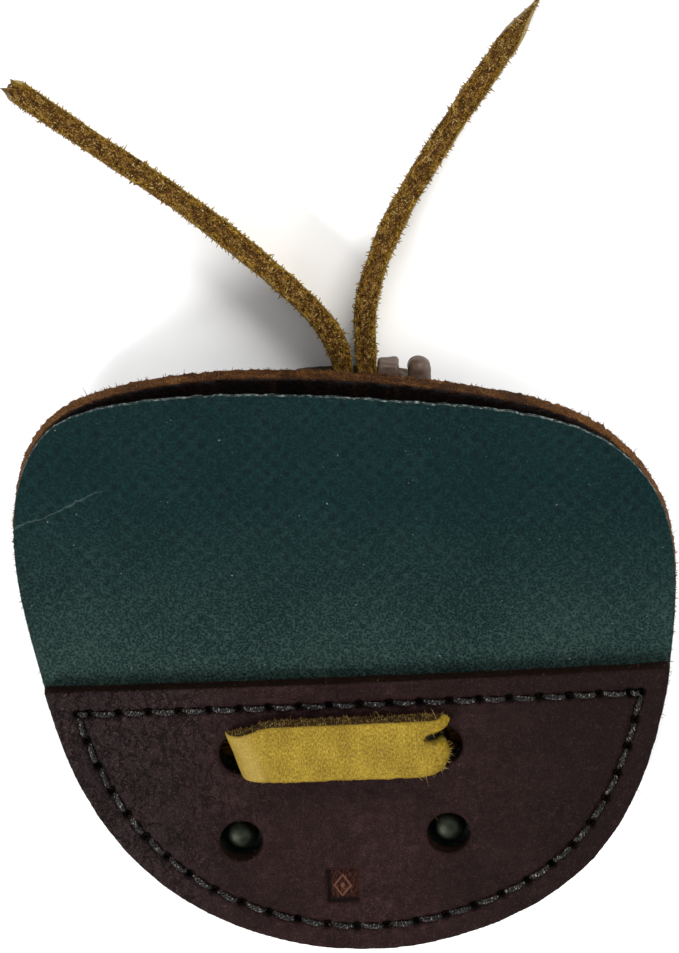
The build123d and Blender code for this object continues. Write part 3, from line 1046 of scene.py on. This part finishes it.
for u, z in frontRoute:
    place = onMoon(u * mm, lace["row"] + lace["aboveRow"] * (z > 5), z * mm)
    place.z += bow(np.array([place]))[0] * (z > 5)
    route.append(place)
line = evenly(splineLine(route, "front_lace_route"), 0.25 * mm)[0]
opened = step(5.0 * mm, 6.6 * mm, line[:, 2])
rightWay = np.array(onMoon(1, 0) - onMoon(0, 0))
laceWay = np.array(onMoon(0, 1) - onMoon(0, 0))
width = lace["waist"] + (lace["shown"] - lace["waist"]) * opened
front = band("lace_front_strip", line, np.tile(laceWay, (len(line), 1)), width, lace["depth"] - 0.2 * mm,
             seed=11.0, corner=0.4 * mm, curl=-0.12 * mm, fibre=0.1 * mm, faceSteps=34)
co = points(front)
# the ends are shaped in millimetres: u to the right, v up from the strip's middle
u, v = alongMoon(co)
u, v = u / mm, (v - lace["row"] - lace["aboveRow"]) / mm
leftEnd = (0.8 - v * 1.05 / lace["half"]) * (1 - step(-11.5, -7.5, u))
rightEnd = np.interp(v, *zip(*lace["tornEnd"])) * step(9.8, 11.9, u)
notch = np.clip(1 - np.abs(v - lace["notch"]) / 1.15, 0, 1) * step(10.9, 12.0, u)
droop = np.clip(v / lace["half"], 0, 1) * 1.3 * (1 - step(-12.6, -8.2, u))
co -= np.outer(droop * mm, laceWay)
co += np.outer((leftEnd + rightEnd) * mm, rightWay)
rolled = 0.25 * (np.abs(v) / lace["half"]) ** 2 * step(7, 12, np.abs(u))
co[:, 2] -= (notch * 1.2 + rolled) * mm
setPoints(front, co)
facing = normals(front)
onTop = co[:, 2] > moonTop
# painted shade along the strip's upper cut edge
grime = step(3.2, 3.6, v) * 0.82
# painted highlight on the left fold, on top of the half-moon
worn = (1 - step(-11.8, -10.2, u)) * onTop
# painted shade: the notch, and the torn end where it goes down into the hole
notchShade = np.clip(notch * 1.6 - 0.3, 0, 1) + (u > 11) * (1 - step(6.0 * mm, 7.6 * mm, co[:, 2]))
for key, values in (("grime", grime), ("worn", worn), ("torn", np.clip(notchShade, 0, 1))):
    front.data.attributes[key].data.foreach_set("value", values.astype(np.float32))
upper = (np.abs(v - 3.6) < 0.5) & onTop & (facing[:, 1] > 0.4)
torn = (u > 10.8) & (co[:, 2] > moonTop - 0.5 * mm) & (np.abs(v) < 3.9)
lower = (v < -3.3) & onTop & (facing[:, 1] < -0.4)
tufts = []
for seed, pick, count, length in ((40, upper, 800, 0.27), (41, torn, 420, 0.34), (42, lower, 110, 0.18)):
    tufts.append(hairs("lace_front_fibres", co[pick], facing[pick], count, length * mm, 0.045 * mm,
                       seed, slantSize=0.9, strayShare=0.04))
joined(*tufts)
finished(tufts[0], goldPaint, "lace_leather")
finished(front, lacePaint, "lace_leather", "tie_lace")

knotEnd = {"left": (-0.4, 66.0, -3.6), "right": (3.4, 66.0, -3.6)}
for side, sign in (("left", -1), ("right", 1)):
    hole = onMoon(sign * lace["holes"], lace["row"])
    end = Vector(knotEnd[side]) * mm
    route = [
        (hole.x, hole.y - 0.3 * mm, 2.6 * mm), (hole.x, hole.y - 0.3 * mm, 0.4 * mm),
        (hole.x + (end.x - hole.x) * 0.02, hole.y + 0.6 * mm, -1.2 * mm),
        (hole.x + (end.x - hole.x) * 0.15, hole.y + 6 * mm, -1.45 * mm),
        (hole.x + (end.x - hole.x) * 0.4, hole.y + 16 * mm, -1.45 * mm),
        (hole.x + (end.x - hole.x) * 0.68, hole.y + 27 * mm, -1.7 * mm),
        (hole.x + (end.x - hole.x) * 0.9, hole.y + 35 * mm, -2.7 * mm), end,
        (end.x + 0.1 * mm, end.y + 4 * mm, -4.3 * mm),
    ]
    line, along = evenly(splineLine(route, "rear_lace_route_" + side), 0.35 * mm)
    share = along / along[-1]
    turn = step(0.72, 0.97, share) * math.pi / 2 * sign
    heading = unit(np.gradient(line, axis=0))
    flat = unit(np.cross(heading, np.tile([0, 0, 1.0], (len(line), 1))) + 1e-9)
    flat[:4] = flat[6]
    leaving = line[:, 2] > -1.0 * mm
    flat[leaving] = flat[np.argmin(leaving) + 4]
    upright = np.tile([0, 0, 1.0], (len(line), 1))
    across = flat * np.cos(turn)[:, None] + upright * np.sin(turn)[:, None]
    opened = step(0.03, 0.12, share) * (1 - 0.35 * step(0.75, 0.95, share))
    width = lace["waist"] + (lace["width"] - lace["waist"]) * opened
    depth = lace["depth"] + 0.9 * mm * (1 - opened) * (share < 0.5)      # folded together in the hole
    run = band("lace_rear_run_" + side, line, across, width, depth, seed=17.0 + sign)
    finished(run, lacePaint, "lace_leather", "tie_lace")
print("lace done")

# ---- knot behind the rim

knot = {
    "centre": (1.0, 68.0, -4.3),
    "halfWidth": 6.9,
    "halfHeight": 2.9,
    "depth": 2.0 * mm,
    "width": 7.0 * mm,
    "spans": 24,
    "shift": 0.5,               # one end of the wrap lies beside the other
}
knotPaint = knotLeather()
loop = []
for i in range(knot["spans"] + 1):
    t = i / knot["spans"]
    turn = 2 * math.pi * t + 0.3
    bulge = (abs(math.cos(turn)) ** 3 + abs(math.sin(turn)) ** 3) ** (-1 / 3)
    loop.append((
        (knot["centre"][0] + knot["halfWidth"] * math.cos(turn) * bulge) * mm,
        (knot["centre"][1] - knot["shift"] * t) * mm,
        (knot["centre"][2] + knot["halfHeight"] * math.sin(turn) * bulge) * mm,
    ))
line = evenly(splineLine(loop, "knot_route"), 0.4 * mm)[0]
across = np.tile([0, 1.0, 0], (len(line), 1))
wrap = band("lace_knot_wrap", line, across, knot["width"], knot["depth"], seed=23.0)
finished(wrap, knotPaint, "lace_leather", "lace_knot")


def knotTab(name, low, high, rounding, segments):
    # a fold of the lace that stands out past the rim, given in the table's frame
    middle = [(a + b) / 2 * mm for a, b in zip(low, high)]
    bpy.ops.object.select_all(action="DESELECT")
    bpy.ops.mesh.primitive_cube_add(size=1, location=middle)
    tab = bpy.context.view_layer.objects.active
    tab.name = name
    tab.scale = [(b - a) * mm for a, b in zip(low, high)]
    bpy.ops.object.transform_apply(location=True, rotation=True, scale=True)
    applied(tab, "BEVEL", width=rounding * mm, segments=segments)
    applied(tab, "REMESH", mode="VOXEL", voxel_size=0.2 * mm)
    applied(tab, "SMOOTH", factor=0.5, iterations=5)
    co, facing = points(tab), normals(tab)
    setPoints(tab, co + facing * (rough(co, 1.2 * mm, 3) * 0.08 * mm)[:, None])
    only(tab)
    bpy.ops.object.shade_smooth()
    finished(tab, knotPaint, "lace_leather", "lace_knot", inFlat=False)


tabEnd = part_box("lace_knot")[1].y / mm
knotTab("lace_knot_square_tab", (3.9, tabEnd - 6, 3.2), (6.5, tabEnd - 1.35, 7.4), 0.3, 2)
knotTab("lace_knot_round_tab", (7.6, tabEnd - 6, 3.2), (10.4, tabEnd - 0.9, 7.4), 1.35, 6)
print("knot done")

# ---- rivets

rivetPaint = blackNickel()
for node in ("rivet_caps_front", "rivet_caps_back"):
    frame["nodes"][node].material_slots[0].material = rivetPaint

# ---- floor and light

floorPlace = (0, 20 * mm, -0.05 * mm)
bpy.ops.object.select_all(action="DESELECT")
bpy.ops.mesh.primitive_plane_add(size=3, location=floorPlace)
floor = bpy.context.view_layer.objects.active
floor.name = "floor"
floor.data.materials.append(paperFloor())

lights = {
    "foot": {"place": (-0.95, -0.95, 1.1), "size": 0.7, "power": 38},
    "right": {"place": (1.3, -0.3, 0.8), "size": 0.8, "power": 12},
    "lace": {"place": (0.4, 1.3, 1.0), "size": 0.9, "power": 27},
}
for name, light in lights.items():
    lamp = bpy.data.lights.new(name, "AREA")
    lamp.size = light["size"]
    lamp.energy = light["power"]
    holder = bpy.data.objects.new(name, lamp)
    bpy.context.collection.objects.link(holder)
    holder.location = light["place"]
    toPouch = Vector((0, 0.02, 0)) - Vector(light["place"])
    holder.rotation_euler = toPouch.to_track_quat("-Z", "Y").to_euler()
world = bpy.data.worlds.new("studio")
world.use_nodes = True
sky = world.node_tree.nodes["Background"].inputs
sky["Color"].default_value = (1, 1, 1, 1)
sky["Strength"].default_value = 0.55
bpy.context.scene.world = world
